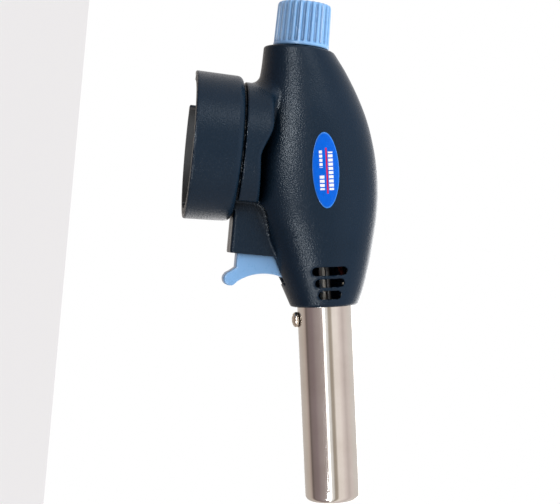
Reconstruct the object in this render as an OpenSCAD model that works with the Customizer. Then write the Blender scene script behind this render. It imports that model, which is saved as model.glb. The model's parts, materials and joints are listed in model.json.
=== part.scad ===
// Handheld gas torch head for a bayonet cartridge.
// Millimetres. Origin: centre of the collar's mouth. +Z leaves the cartridge, +X goes towards
// the flame, and the halves of the housing meet in the plane Y = 0.

/* [Housing] */
// Wall of the moulded housing
wall = 2.0; // [1.6:0.1:2.6]
// Knob end of the housing, along X
knob_end_x = -35.0; // [-38:0.5:-32]
// Stations along the housing's length
stations = 26; // [16:2:36]
// Facets around each half section
facets = 16; // [10:2:24]
// Centre of the mouth where the burner tube leaves, along X
outlet_x = 49.7; // [45:0.1:54]
// The same centre, along Z
outlet_z = 50.2; // [45:0.1:54]
// Angle of the burner tube above X
tube_angle = 7.75; // [0:0.25:15]

/* [Collar] */
// Radius at the mouth
collar_mouth_r = 24.5; // [24:0.1:26]
// Radius at the top of the collar
collar_top_r = 24.05; // [23:0.05:25]
// Height of the collar
collar_h = 15.7; // [12:0.1:20]
// Rounding of the collar's top edge
collar_round = 2.0; // [0.5:0.1:3]
// Radius of the neck above the collar
neck_r = 22.3; // [20:0.1:24]
// Top of the neck
neck_z = 22.0; // [21:0.1:24]
// Rise of the neck's top towards the knob
neck_rise = 3.0; // [0:0.1:4]
// Seat of the lock ring in the collar
ring_seat_r = 22.9; // [22:0.1:23.5]
// Height of the ledge above the lock ring
ledge_z = 11.3; // [9:0.1:13]
// Depth of the rim notch
notch_depth = 3.0; // [1:0.1:5]
// First angle of the rim notch
notch_from = 128; // [90:1:150]
// Last angle of the rim notch, past the seam
notch_to = 185; // [182:1:190]

/* [Lock ring] */
// Bore that takes the cartridge's flange
cartridge_r = 21.3; // [21:0.05:21.8]
// Lower edge of the ring
ring_z0 = 0; // [0:0.1:2]
// Shoulder the flange stops against
ring_seat_z = 7.0; // [5:0.1:9]
// Hole in the ring's web
ring_hole_r = 10.0; // [8:0.5:14]
// Depth of the bayonet slots in the wall
slot_depth = 1.0; // [0.5:0.1:1.2]
// Radius of the circle the web's screws stand on
ring_screw_r = 14.0; // [12:0.5:16]

/* [Burner tube] */
// Outside radius
tube_r = 9.3; // [8:0.1:10]
// Sheet thickness
tube_t = 0.6; // [0.4:0.1:1]
// Length outside the housing
tube_out = 64.7; // [50:0.2:80]
// Length held inside the housing
tube_in = 2.2; // [1:0.1:2.4]
// Radius of the rolled tip
tip_round = 2.0; // [1:0.1:3]
// Distance of the fixing screw from the housing
screw_t = 3.75; // [3:0.05:8]
// Radius of the threaded jet
jet_r = 1.65; // [1.4:0.05:2]

/* [Vents] */
// Distances of the three vents behind the mouth
vent_t = [-12.3, -8.4, -4.45];
// Their lengths
vent_len = [11.7, 9.7, 7.6];
// Their width
vent_w = 2.8; // [2:0.1:3.4]

/* [Valve] */
// Height of the valve's cross axis
valve_z = 34.2; // [32:0.1:36]
// Radius of the upright column
column_r = 6.5; // [5:0.1:8]
// Radius of the cross barrel
barrel_r = 7.0; // [6:0.1:8]
// Radius of the threaded part of the stem
stem_thread_r = 2.95; // [2.5:0.05:3.5]
// Radius of the stem where the knob sits
stem_r = 2.5; // [2:0.05:3]
// Radial running clearance of the stem
running = 0.05; // [0.02:0.01:0.1]

/* [Inlet] */
// Bore for the cartridge's stem
inlet_r = 2.3; // [2:0.05:2.6]
// Lower face of the inlet socket
inlet_z = 7.2; // [6:0.1:8]
// Length of the inlet bore
inlet_len = 4.0; // [3:0.1:5]

/* [Knob] */
// Gap between the housing and the knob
knob_gap = 0.5; // [0.3:0.1:1.5]
// Height of the ribbed body
knob_h = 14.8; // [10:0.1:16]
// Radius at the housing end
knob_r0 = 9.35; // [8:0.05:11]
// Radius at the far end
knob_r1 = 8.85; // [8:0.05:11]
// Number of grip grooves
knob_grooves = 26; // [12:1:40]
// Rise of the cap above the knob
cap_h = 0.4; // [0.3:0.1:1]

/* [Trigger] */
// Half width of the trigger
trigger_hw = 4.0; // [3:0.1:5]
// Back face of the trigger, inside the guard
trigger_back = 31.5; // [30:0.1:33]
// Travel of the trigger towards the collar
trigger_travel = 4.0; // [2:0.1:4]
// Side clearance in the guard
trigger_gap = 0.45; // [0.3:0.05:0.8]
// Radius of the finger curve
finger_r = 16.4; // [12:0.1:22]
// Half width of the guard
guard_hw = 7.0; // [6:0.1:9]
// Front face of the guard
guard_z = 16.1; // [15:0.1:18]
// End of the guard towards the flame
guard_x = 34.4; // [32:0.1:37]
// Arched end of the guard, along X
arch_x = 17.4; // [16:0.1:20]
// Radius of that arch
arch_r = 5.0; // [4:0.1:7]
// Height of the arch's centre
arch_z = 21.9; // [20:0.1:24]
// Slope of the recess's far side
arch_angle = 15.85; // [0:0.05:30]
// Rounding of the guard's front edges
guard_round = 1.2; // [0.5:0.1:2.5]

/* [Igniter] */
// Half width of the piezo body
piezo_hw = 4.2; // [4:0.1:4.3]
// Height of the piezo's axis
piezo_z = 25.5; // [25:0.1:26]
// Distance of the electrode from the tube's axis
electrode_off = 6.6; // [6.4:0.05:6.8]

/* [Hidden] */
$fn = 48;

// Outline of the housing seen from the side: [x, z] along its back and along its front.
back_line = [
    [-35, 45.2], [-29, 49.7], [-21.4, 54.4], [-13.7, 58.2], [-6, 60.9], [1.9, 62.9],
    [9.8, 64.1], [17.8, 64.4], [25.9, 64.0], [34, 63.4], [42.1, 62.3], [47.3, 61.0], [52, 59.4]
];
front_line = [
    [-35, 21.85], [-27, 21.6], [-18, 20.6], [0, 19.8], [17, 21.8], [27, 26.6], [34, 30.0],
    [40.7, 33.3], [46.5, 36.5], [52, 39.5]
];
// Half width [x, y] and roundness of the section [x, exponent] along the housing.
width_line = [
    [-35, 11.4], [-26, 13.6], [-14, 16.2], [0, 17.7], [10, 18.0], [22, 17.4], [34, 15.2],
    [42, 13.1], [47, 11.5], [52, 9.9]
];
power_line = [[-35, 2.0], [-20, 2.15], [0, 2.35], [20, 2.35], [40, 2.1], [52, 2.0]];

function slope(t, i) =
    let (a = max(i - 1, 0), b = min(i + 1, len(t) - 1))
    (t[b][1] - t[a][1]) / (t[b][0] - t[a][0]);
function span(t, x) = max([for (i = [0 : len(t) - 2]) if (i == 0 || x >= t[i][0]) i]);
// Smooth value of the table t at x
function curve(t, x) =
    let (i = span(t, x), d = t[i + 1][0] - t[i][0], u = (x - t[i][0]) / d)
    t[i][1] * (2 * u^3 - 3 * u^2 + 1) + t[i + 1][1] * (3 * u^2 - 2 * u^3)
    + slope(t, i) * d * (u^3 - 2 * u^2 + u) + slope(t, i + 1) * d * (u^3 - u^2);

function mid_z(x) = (curve(back_line, x) + curve(front_line, x)) / 2;
function half_h(x) = (curve(back_line, x) - curve(front_line, x)) / 2;
// Half width of the housing's surface at x, z
function skin_y(x, z) =
    let (n = curve(power_line, x), q = abs(z - mid_z(x)) / half_h(x))
    curve(width_line, x) * max(1 - q^n, 0)^(1 / n);

// Rounding of the knob end: how far the section draws in at x
function draw_in(x) = let (d = max(1 - (x - knob_end_x), 0)) 1 - sqrt(max(1 - d * d, 0));

// Section at x, drawn in by inset, running from the front over +Y to the back and past the
// parting plane by past
function half_section(x, inset, past) =
    let (h = half_h(x) - inset - draw_in(x), w = curve(width_line, x) - inset - draw_in(x),
         n = curve(power_line, x), c = mid_z(x))
    concat([[x, -past, c - h]],
        [for (j = [0 : facets])
            let (a = 180 * j / facets, s = j == facets ? 0 : sin(a))
            [x, w * s^(2 / n), c - h * sign(cos(a)) * abs(cos(a))^(2 / n)]],
        [[x, -past, c + h]]);

function ring_faces(count, size) = [for (i = [0 : count - 2]) for (j = [0 : size - 1])
    let (k = (j + 1) % size)
    [i * size + j, (i + 1) * size + j, (i + 1) * size + k, i * size + k]];

// Solid half of the housing between two stations
module half_loft(x0, x1, count, inset, past, first_step) {
    xs = concat([x0, x0 + first_step * 0.3],
                [for (i = [0 : count - 1]) x0 + first_step + (x1 - x0 - first_step) * i / (count - 1)]);
    size = facets + 3;
    total = len(xs);
    pts = [for (x = xs) each half_section(x, inset, past)];
    polyhedron(pts, concat(
        [[for (j = [0 : size - 1]) j]],
        [[for (j = [size - 1 : -1 : 0]) (total - 1) * size + j]],
        ring_faces(total, size)));
}

// Local Z along the burner tube's axis, 0 at the housing's mouth, local X towards the cartridge
module tube_frame() {
    translate([outlet_x, 0, outlet_z]) rotate([0, 90 - tube_angle, 0]) children();
}

// Local Z along -X from the knob end, on the valve's cross axis
module knob_frame(x = knob_end_x - knob_gap) {
    translate([x, 0, valve_z]) rotate([0, -90, 0]) children();
}

module ring(r_out, r_in, h) {
    difference() {
        cylinder(r = r_out, h = h);
        translate([0, 0, -1]) cylinder(r = r_in, h = h + 2);
    }
}

// Torus about Z
module o_ring(major, minor) {
    rotate_extrude() translate([major, 0]) circle(r = minor);
}

// Outside of the collar and the neck, about Z
module collar_skin() {
    rotate_extrude() {
        difference() {
            polygon([[0, 0], [collar_mouth_r, 0], [collar_top_r, collar_h - collar_round],
                     [collar_top_r, collar_h], [0, collar_h]]);
            translate([collar_top_r - collar_round, collar_h - collar_round])
                difference() {
                    square([collar_round + 1, collar_round + 1]);
                    circle(r = collar_round);
                }
        }
        translate([0, collar_h - 1]) square([neck_r - 0.35, 2]);
    }
    neck_wall(neck_z);
    difference() {
        neck_wall(neck_z + neck_rise);
        translate([-7, -30, neck_z + neck_rise]) rotate([0, 26.5, 0]) cube([60, 60, 20]);
    }
}

// Neck up to height z, its top edge broken
module neck_wall(z) {
    rotate_extrude() polygon([[0, collar_h + 0.5], [neck_r, collar_h + 0.5], [neck_r, z - 1],
        [neck_r - 0.3, z - 0.3], [neck_r - 1, z], [0, z]]);
}

// Side outline of the trigger guard, in X and Z: a flat face with an arched end against the neck
module guard_outline() {
    cx = arch_x + arch_r;
    far = [cx - arch_r * sin(arch_angle), arch_z + arch_r * cos(arch_angle)];
    translate([cx, arch_z]) circle(r = arch_r);
    polygon([[arch_x, guard_z], [guard_x, guard_z], [guard_x, far[1] + (guard_x - far[0]) * tan(arch_angle)],
             far, [cx, arch_z], [arch_x, arch_z]]);
}

// Guard around the trigger, with flat sides
module guard_skin() {
    intersection() {
        rotate([90, 0, 0]) translate([0, 0, -guard_hw]) linear_extrude(height = 2 * guard_hw) {
            guard_outline();
            polygon([[23, 24], [guard_x, 24], [guard_x, 33], [30, 32.2]]);
        }
        rotate([90, 0, 90]) linear_extrude(height = 50) {
            translate([-guard_hw, guard_z + guard_round]) square([2 * guard_hw, 25]);
            translate([guard_round - guard_hw, guard_z]) square([2 * (guard_hw - guard_round), 25]);
            for (s = [-1, 1])
                translate([s * (guard_hw - guard_round), guard_z + guard_round]) circle(r = guard_round);
        }
    }
}

// The neck and the hull are cut away beside the guard, over its outline; grow makes the cut larger
module guard_recess(grow) {
    for (s = [-1, 1]) translate([0, s * (guard_hw - grow + 20), 0]) rotate([90, 0, 0])
        translate([0, 0, -20]) linear_extrude(height = 40) offset(delta = grow) guard_outline();
}

// Space inside the collar, the neck and the guard
module lower_space() {
    translate([0, 0, -1]) cylinder(r = ring_seat_r, h = ledge_z + 1);
    difference() {
        rotate_extrude() polygon([[0, 5], [20.2, 5], [20.2, 19], [19.2, neck_z - wall],
                                  [10.5, neck_z - wall], [10.5, 30], [0, 30]]);
        translate([arch_x - wall, -30, guard_z - wall]) cube([20, 60, 20]);
    }
    translate([7, -trigger_hw - trigger_gap, guard_z + 2.1])
        cube([guard_x - 6, 2 * (trigger_hw + trigger_gap), 16.2]);
    translate([26.5, -trigger_hw - trigger_gap, 22])
        cube([16.7, 2 * (trigger_hw + trigger_gap), 14.5]);
}

// Rounded slot through the housing, lying along local X of the tube's frame
module vent(t, length) {
    reach = length / 2 - vent_w / 2;
    rotate([90, 0, 0]) translate([0, 0, -25]) linear_extrude(height = 50) {
        translate([-reach, t - vent_w / 2]) square([2 * reach, vent_w]);
        for (s = [-1, 1]) translate([s * reach, t]) circle(r = vent_w / 2);
    }
}

// Where the housing's screws stand: [x, z]
screw_spots = [[-18, 47.5], [20, 57.2], [34, 39.2]];
boss_r = 2.8;
head_y = 9.6;

// One moulded half on the +Y side, without screw holes
module half_housing() {
    difference() {
        union() {
            difference() {
                union() {
                    half_loft(knob_end_x, 52, stations, 0, 1, 1.0);
                    collar_skin();
                }
                guard_recess(0);
            }
            guard_skin();
        }
        difference() {
            half_loft(knob_end_x + wall, 51.5, stations, wall, 2, 1.0);
            guard_recess(wall);
        }
        lower_space();
        tube_frame() {
            cylinder(r = 30, h = 20);
            translate([0, 0, -tube_in - 0.2]) cylinder(r = tube_r + 0.1, h = 10);
        }
        knob_frame(knob_end_x + wall + 1) cylinder(r = 5, h = wall + 3);
        translate([-60, -60, -5]) cube([130, 60, 90]);
    }
    // Lip around the burner tube
    difference() {
        tube_frame() translate([0, 0, -tube_in]) ring(tube_r + 1.2, tube_r + 0.1, tube_in - 0.4);
        translate([0, -30, 0]) cube([90, 30, 90]);
    }
    // Ribs that hold the valve's barrel, the column and the piezo body
    translate([-21, barrel_r + 0.1, valve_z - 5]) cube([2, 5.6, 10]);
    translate([-2, barrel_r + 0.1, 25]) cube([4, 4.9, 12]);
    translate([13, piezo_hw + 0.05, piezo_z - 3]) cube([2, 2.4, 7]);
    for (s = screw_spots) translate([s[0], 0, s[1]]) rotate([-90, 0, 0])
        cylinder(r = boss_r, h = skin_y(s[0], s[1]) - 2.2);
}

module housing_right() {
    color([0.10, 0.13, 0.19]) difference() {
        half_housing();
        for (s = screw_spots) translate([s[0], 0, s[1]]) rotate([-90, 0, 0]) {
            translate([0, 0, -1]) cylinder(r = 1.6, h = 20);
            translate([0, 0, head_y]) cylinder(r = 3.0, h = 12);
        }
        rim_notch();
    }
}

// Arc cut out of the collar's rim
module rim_notch() {
    translate([0, 0, -1]) rotate([0, 0, notch_from])
        rotate_extrude(angle = notch_to - notch_from) translate([cartridge_r - 1, 0])
            square([6, notch_depth + 1]);
}

module housing_left() {
    color([0.10, 0.13, 0.19]) mirror([0, 1, 0]) difference() {
        half_housing();
        for (s = screw_spots) translate([s[0], -1, s[1]]) rotate([-90, 0, 0]) cylinder(r = 1.45, h = 10);
        tube_frame() for (i = [0 : 2]) vent(vent_t[i], vent_len[i]);
    }
}

module housing_screw(i) {
    s = screw_spots[i];
    color([0.35, 0.36, 0.38]) translate([s[0], 0, s[1]]) rotate([-90, 0, 0]) difference() {
        union() {
            translate([0, 0, -8]) cylinder(r = 1.4, h = head_y + 8.5);
            translate([0, 0, head_y]) cylinder(r = 2.7, h = 1.8);
        }
        for (a = [0, 90]) rotate([0, 0, a]) translate([-1.6, -0.3, head_y + 0.9]) cube([3.2, 0.6, 2]);
    }
}

module housing_screw_back() {
    housing_screw(0);
}

module housing_screw_top() {
    housing_screw(1);
}

module housing_screw_front() {
    housing_screw(2);
}

module cartridge_lock_ring() {
    color([0.05, 0.05, 0.06]) difference() {
        translate([0, 0, ring_z0]) cylinder(r = ring_seat_r - 0.1, h = ledge_z - ring_z0 - 0.1);
        translate([0, 0, -1]) cylinder(r = cartridge_r, h = ring_seat_z + 1);
        translate([0, 0, ring_seat_z - 1]) cylinder(r = cartridge_r - 2, h = 3.6);
        translate([0, 0, 5]) cylinder(r = ring_hole_r, h = 10);
        for (a = [20, 140, 260]) rotate([0, 0, a]) bayonet_slot();
        for (a = [60, 180, 300]) rotate([0, 0, a]) translate([ring_screw_r, 0, 5]) cylinder(r = 1.7, h = 10);
        rim_notch();
    }
}

// Slot that lets a lug of the cartridge in and round
module bayonet_slot() {
    translate([0, 0, -1]) rotate_extrude(angle = 8)
        translate([cartridge_r - 1, 0]) square([1 + slot_depth, ring_seat_z]);
    translate([0, 0, ring_seat_z - 3]) rotate_extrude(angle = 20)
        translate([cartridge_r - 1, 0]) square([1 + slot_depth, 2]);
}

module ring_screw(angle) {
    color([0.62, 0.62, 0.64]) rotate([0, 0, angle]) translate([ring_screw_r, 0, 0]) difference() {
        union() {
            translate([0, 0, ledge_z - 3.1]) cylinder(r = 2.6, h = 1.3);
            translate([0, 0, ledge_z - 2]) cylinder(r = 1.5, h = 4.2);
        }
        for (a = [0, 90]) rotate([0, 0, a]) translate([-1.5, -0.3, 7]) cube([3, 0.6, 1.9]);
    }
}

module ring_screw_a() {
    ring_screw(60);
}

module ring_screw_b() {
    ring_screw(180);
}

module ring_screw_c() {
    ring_screw(300);
}

module valve_body() {
    color([0.78, 0.62, 0.30]) difference() {
        union() {
            translate([0, 0, ledge_z]) cylinder(r = 17, h = 2.4);
            translate([0, 0, ledge_z + 1]) cylinder(r = column_r, h = 35);
            knob_frame(0) cylinder(r = barrel_r, h = 27);
            tube_frame() translate([0, 0, -49]) cylinder(r = 4.5, h = 12);
        }
        translate([0, 0, 5]) cylinder(r = 4.0, h = 11.2);
        translate([0, 0, 12]) cylinder(r = 1.2, h = 22.2);
        for (a = [60, 180, 300]) rotate([0, 0, a]) translate([ring_screw_r, 0, 5])
            cylinder(r = 1.55, h = 12);
        knob_frame(0) {
            translate([0, 0, -3]) cylinder(r = 1.0, h = 6);
            translate([0, 0, 2]) cylinder(r = 2.4, h = 12);
            translate([0, 0, 11]) cylinder(r = stem_thread_r + running, h = 13);
            translate([0, 0, 22]) cylinder(r = 4.0, h = 6);
        }
        tube_frame() translate([0, 0, -46]) cylinder(r = 2.5, h = 12);
        translate([2.5, 0, valve_z - 1]) cylinder(r = 1.0, h = 10);
    }
}

module inlet_socket() {
    color([0.80, 0.66, 0.34]) difference() {
        union() {
            translate([0, 0, inlet_z]) cylinder(r = 5.6, h = 2.8, $fn = 6);
            translate([0, 0, inlet_z + 2]) cylinder(r = 4.5, h = ledge_z - inlet_z - 2);
            translate([0, 0, inlet_z + 3]) cylinder(r = 3.95, h = 5.6);
        }
        translate([0, 0, 0]) cylinder(r = inlet_r, h = inlet_z + inlet_len);
        translate([0, 0, inlet_z + inlet_len]) cylinder(r = 3.1, h = 1.3);
        translate([0, 0, inlet_z + inlet_len + 1]) cylinder(r = 1.2, h = 10);
    }
}

module inlet_gasket() {
    color([0.08, 0.08, 0.08]) translate([0, 0, inlet_z + inlet_len + 0.05]) ring(3.05, 1.4, 1.2);
}

module inlet_o_ring() {
    color([0.08, 0.08, 0.08]) translate([0, 0, ledge_z - 0.66]) o_ring(5.2, 0.63);
}

module valve_stem() {
    color([0.75, 0.76, 0.78]) knob_frame(0) difference() {
        union() {
            translate([0, 0, 2.2]) cylinder(r1 = 0.3, r2 = 1.9, h = 4);
            translate([0, 0, 6.2]) cylinder(r = 1.9, h = 7);
            translate([0, 0, 12.5]) cylinder(r = stem_thread_r, h = 9.5);
            translate([0, 0, 21]) cylinder(r = 2.2, h = 6);
            translate([0, 0, 26.5]) cylinder(r = stem_r, h = 18.5);
        }
        translate([0, 0, 37]) cylinder(r = 1.45, h = 10);
    }
}

module stem_o_ring() {
    color([0.08, 0.08, 0.08]) knob_frame(-23.7) o_ring(3.1, 0.85);
}

module gland_nut() {
    color([0.78, 0.62, 0.30]) knob_frame(-27.05) difference() {
        union() {
            cylinder(r = 6.4, h = 4.4, $fn = 6);
            translate([0, 0, -1.2]) cylinder(r = 3.9, h = 2);
        }
        translate([0, 0, -3]) cylinder(r = stem_r + running, h = 10);
    }
}

module knob() {
    color([0.50, 0.68, 0.88]) knob_frame() difference() {
        rotate_extrude() polygon([[0, 0], [knob_r0, 0], [knob_r0, 1.2], [knob_r0 - 0.1, 1.2],
            [knob_r1 + 0.05, knob_h - 0.9], [knob_r1 - 0.25, knob_h - 0.3], [knob_r1 - 0.9, knob_h],
            [0, knob_h]]);
        for (i = [0 : knob_grooves - 1]) rotate([0, 0, 360 * i / knob_grooves])
            translate([knob_r0 + 0.1, 0, 1.3]) rotate([0, -2.1, 0]) cylinder(r = 0.5, h = knob_h - 2);
        translate([0, 0, -1]) cylinder(r = stem_r + running, h = 10.6);
        translate([0, 0, -1]) cylinder(r = 7.2, h = 3);
        translate([0, 0, 5]) cylinder(r = 1.6, h = 7);
        translate([0, 0, 11.2]) cylinder(r = 3.1, h = 5);
        translate([0, 0, knob_h - 0.5]) cylinder(r = 6.7, h = 3);
    }
}

module knob_screw() {
    color([0.62, 0.62, 0.64]) knob_frame() difference() {
        union() {
            translate([0, 0, 11.2]) cylinder(r = 2.8, h = 1.5);
            translate([0, 0, 3]) cylinder(r = 1.4, h = 9);
        }
        for (a = [0, 90]) rotate([0, 0, a]) translate([-1.5, -0.3, 12]) cube([3, 0.6, 2]);
    }
}

module knob_cap() {
    color([0.52, 0.70, 0.90]) knob_frame() rotate_extrude() polygon([
        [0, knob_h - 0.45], [6.6, knob_h - 0.45], [6.6, knob_h], [6.3, knob_h + cap_h / 2], [5.2, knob_h + 0.8 * cap_h],
        [3, knob_h + cap_h], [0, knob_h + cap_h]]);
}

module gas_pipe() {
    color([0.80, 0.52, 0.32]) tube_frame() translate([0, 0, -45.8]) ring(2.4, 1.2, 22.6);
}

module jet_nozzle() {
    color([0.80, 0.66, 0.34]) tube_frame() difference() {
        union() {
            translate([0, 0, -27]) cylinder(r = 4.4, h = 4, $fn = 6);
            translate([0, 0, -24]) cylinder(r = 3.2, h = 4);
        }
        translate([0, 0, -28]) cylinder(r = 2.45, h = 4.9);
        translate([0, 0, -24]) cylinder(r = 1.0, h = 3);
        translate([0, 0, -22]) cylinder(r = jet_r + 0.02, h = 3);
    }
}

// Threaded jet on the tube's axis: the bright piece behind the vents
module jet_stem() {
    color([0.80, 0.80, 0.78]) tube_frame() difference() {
        union() {
            translate([0, 0, -22]) cylinder(r = jet_r, h = 20);
            translate([0, 0, -2]) cylinder(r1 = jet_r, r2 = 0.9, h = 1.2);
        }
        translate([0, 0, -23]) cylinder(r = 0.8, h = 21);
        translate([0, 0, -3]) cylinder(r = 0.3, h = 4);
        for (i = [0 : 19]) translate([0, 0, -16.5 + 0.7 * i]) difference() {
            cylinder(r = 3, h = 0.3);
            translate([0, 0, -1]) cylinder(r = jet_r - 0.2, h = 3);
        }
    }
}

module tube_holder() {
    color([0.70, 0.70, 0.72]) tube_frame() difference() {
        translate([0, 0, 0.5]) cylinder(r = tube_r - tube_t - 0.05, h = 8.5);
        translate([0, 0, 0]) cylinder(r = 4.55, h = 10);
        for (a = [90, 135, 225, 270]) rotate([0, 0, a]) translate([6.45, 0, 0]) cylinder(r = 1.2, h = 10);
        translate([-electrode_off, 0, 0]) cylinder(r = 1.5, h = 10);
        translate([5, 0, screw_t]) rotate([0, 90, 0]) cylinder(r = 1.5, h = 6);
    }
}

module mixing_tube() {
    color([0.78, 0.78, 0.76]) tube_frame() translate([0, 0, 4.3]) ring(4.5, 3.8, 41.6);
}

module burner_head() {
    color([0.72, 0.66, 0.50]) tube_frame() difference() {
        translate([0, 0, 42.5]) cylinder(r = tube_r - tube_t - 0.1, h = 7.5);
        translate([0, 0, 42]) cylinder(r = 4.55, h = 4);
        translate([0, 0, 45]) cylinder(r = 2.4, h = 6);
        for (i = [0 : 9]) rotate([0, 0, 36 * i]) translate([3.7, 0, 45]) cylinder(r = 0.6, h = 6);
        for (i = [1 : 11]) rotate([0, 0, 180 + 30 * i]) translate([6.4, 0, 42]) cylinder(r = 0.8, h = 9);
        translate([-electrode_off, 0, 42]) cylinder(r = 1.5, h = 9);
    }
}

module burner_tube() {
    color([0.74, 0.72, 0.70]) tube_frame() difference() {
        rotate_extrude() difference() {
            union() {
                translate([0, -tube_in]) square([tube_r, tube_out + tube_in - tip_round]);
                translate([0, 10]) square([tube_r - tip_round, tube_out - 10]);
                translate([tube_r - tip_round, tube_out - tip_round]) circle(r = tip_round);
            }
            translate([0, -tube_in - 1]) square([tube_r - tube_t, tube_out + tube_in - tip_round + 1]);
            square([tube_r - tip_round, tube_out + 1]);
            translate([tube_r - tip_round, tube_out - tip_round]) circle(r = tip_round - tube_t);
        }
        translate([4, 0, screw_t]) rotate([0, 90, 0]) cylinder(r = 1.6, h = 8);
    }
}

module tube_screw() {
    color([0.66, 0.62, 0.58]) tube_frame() translate([0, 0, screw_t]) rotate([0, 90, 0]) difference() {
        union() {
            translate([0, 0, 5.6]) cylinder(r = 1.45, h = 4);
            translate([0, 0, tube_r + 0.05]) cylinder(r = 2.5, h = 1.2);
            translate([0, 0, tube_r + 1.2]) cylinder(r1 = 2.5, r2 = 1.6, h = 0.8);
        }
        translate([-3, -0.35, tube_r + 1.1]) cube([6, 0.7, 2]);
    }
}

module electrode() {
    color([0.60, 0.58, 0.55]) tube_frame() {
        translate([-electrode_off, 0, -8]) cylinder(r = 0.6, h = 61);
        translate([-electrode_off, 0, 52.4]) rotate([0, 90, 0]) cylinder(r = 0.6, h = 2.6);
    }
}

module insulator() {
    color([0.92, 0.90, 0.84]) tube_frame() translate([-electrode_off, 0, -3]) ring(1.4, 0.65, 51);
}

// Wire through the points p
module wire(p, r) {
    for (i = [0 : len(p) - 1]) {
        translate(p[i]) sphere(r = 1.12 * r);
        if (i > 0) {
            d = p[i] - p[i - 1];
            translate(p[i - 1]) rotate([0, acos(d[2] / norm(d)), atan2(d[1], d[0])])
                cylinder(r = r, h = norm(d));
        }
    }
}

// Centre of the electrode's back end
lead_end = [outlet_x - 8 * cos(tube_angle) - electrode_off * sin(tube_angle), 0,
            outlet_z - 8 * sin(tube_angle) + electrode_off * cos(tube_angle)];

module ignition_lead() {
    color([0.75, 0.12, 0.10]) wire([[9.5, 3, piezo_z + 5.2], [9, 8.5, 35], [12, 10, 47],
        [26, 9.5, 53.5], [35, 4.5, 54.5], lead_end - [2, 0, 0.3]], 0.9);
}

module ground_lead() {
    color([0.12, 0.12, 0.13]) wire([[11, -3, piezo_z + 5.2], [14, -8.5, 35], [26, -9.5, 43],
        [37, -7.5, 48.5], [47.5, -6.9, 50.4]], 0.8);
}

module piezo_body() {
    color([0.86, 0.84, 0.78]) difference() {
        translate([8, -piezo_hw, piezo_z - piezo_hw]) cube([19, 2 * piezo_hw, 2 * piezo_hw]);
        translate([15.5, -2.8, piezo_z - 2.8]) cube([12, 5.6, 5.6]);
    }
}

module piezo_plunger() {
    color([0.30, 0.30, 0.32]) translate([20, -2.5, piezo_z - 2.5]) cube([trigger_back - 20, 5, 5]);
}

module trigger() {
    color([0.50, 0.68, 0.88]) rotate([90, 0, 0]) translate([0, 0, -trigger_hw])
        linear_extrude(height = 2 * trigger_hw) {
            difference() {
                polygon([[trigger_back, 18.7], [39, 18.7], [41.2, 15.9], [45, 17.9], [45, 30], [41.2, 33.5],
                         [41.2, 35.2], [trigger_back, 35.2]]);
                translate([56.7, 29.65]) circle(r = finger_r);
            }
            translate([43, 17.2]) circle(r = 2.2);
        }
}

// Oval badge on the -Y side, following the housing's skin
badge_a = 12.3;
badge_b = 4.4;
badge_x = 5.1;
badge_z = 43.5;
badge_steps = 24;
badge_t = 0.25;

function badge_point(r, a, lift) =
    let (u = r * badge_a * cos(a), v = r * badge_b * sin(a),
         x = badge_x + u * cos(tube_angle) - v * sin(tube_angle),
         z = badge_z + u * sin(tube_angle) + v * cos(tube_angle))
    [x, -skin_y(x, z) - lift, z];

module badge() {
    rings = [0.25, 0.5, 0.75, 1];
    layer = 1 + len(rings) * badge_steps;
    pts = [for (lift = [0.02, badge_t]) each concat([badge_point(0, 0, lift)],
        [for (r = rings) for (i = [0 : badge_steps - 1]) badge_point(r, 360 * i / badge_steps, lift)])];
    function at(k, i) = 1 + k * badge_steps + i % badge_steps;
    top = concat([for (i = [0 : badge_steps - 1]) [layer, layer + at(0, i), layer + at(0, i + 1)]],
        [for (k = [0 : len(rings) - 2]) for (i = [0 : badge_steps - 1])
            [layer + at(k, i), layer + at(k + 1, i), layer + at(k + 1, i + 1), layer + at(k, i + 1)]]);
    under = [for (f = top) [for (j = [len(f) - 1 : -1 : 0]) f[j] - layer]];
    side = [for (i = [0 : badge_steps - 1])
        let (k = len(rings) - 1) [at(k, i), at(k, i + 1), layer + at(k, i + 1), layer + at(k, i)]];
    color([0.0, 0.36, 0.85]) polyhedron(pts, concat(top, under, side));
}

housing_left();
housing_right();
housing_screw_back();
housing_screw_top();
housing_screw_front();
cartridge_lock_ring();
ring_screw_a();
ring_screw_b();
ring_screw_c();
valve_body();
inlet_socket();
inlet_gasket();
inlet_o_ring();
valve_stem();
stem_o_ring();
gland_nut();
knob();
knob_screw();
knob_cap();
gas_pipe();
jet_nozzle();
jet_stem();
tube_holder();
mixing_tube();
burner_head();
burner_tube();
tube_screw();
electrode();
insulator();
ignition_lead();
ground_lead();
piezo_body();
piezo_plunger();
trigger();
badge();
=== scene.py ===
"""Looks of the gas torch head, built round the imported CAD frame.

Shapes are worked out in millimetres in the part's frame, which has its origin in the middle of the
collar's open end, and turned into metres when a mesh is made.
The moulded pieces are distance functions (negative inside) that one mesher turns into closed
meshes; the turned pieces are outlines that are revolved about their axis.
"""
import json
import math

import bpy
import numpy as np
from mathutils import Matrix, Vector


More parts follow.
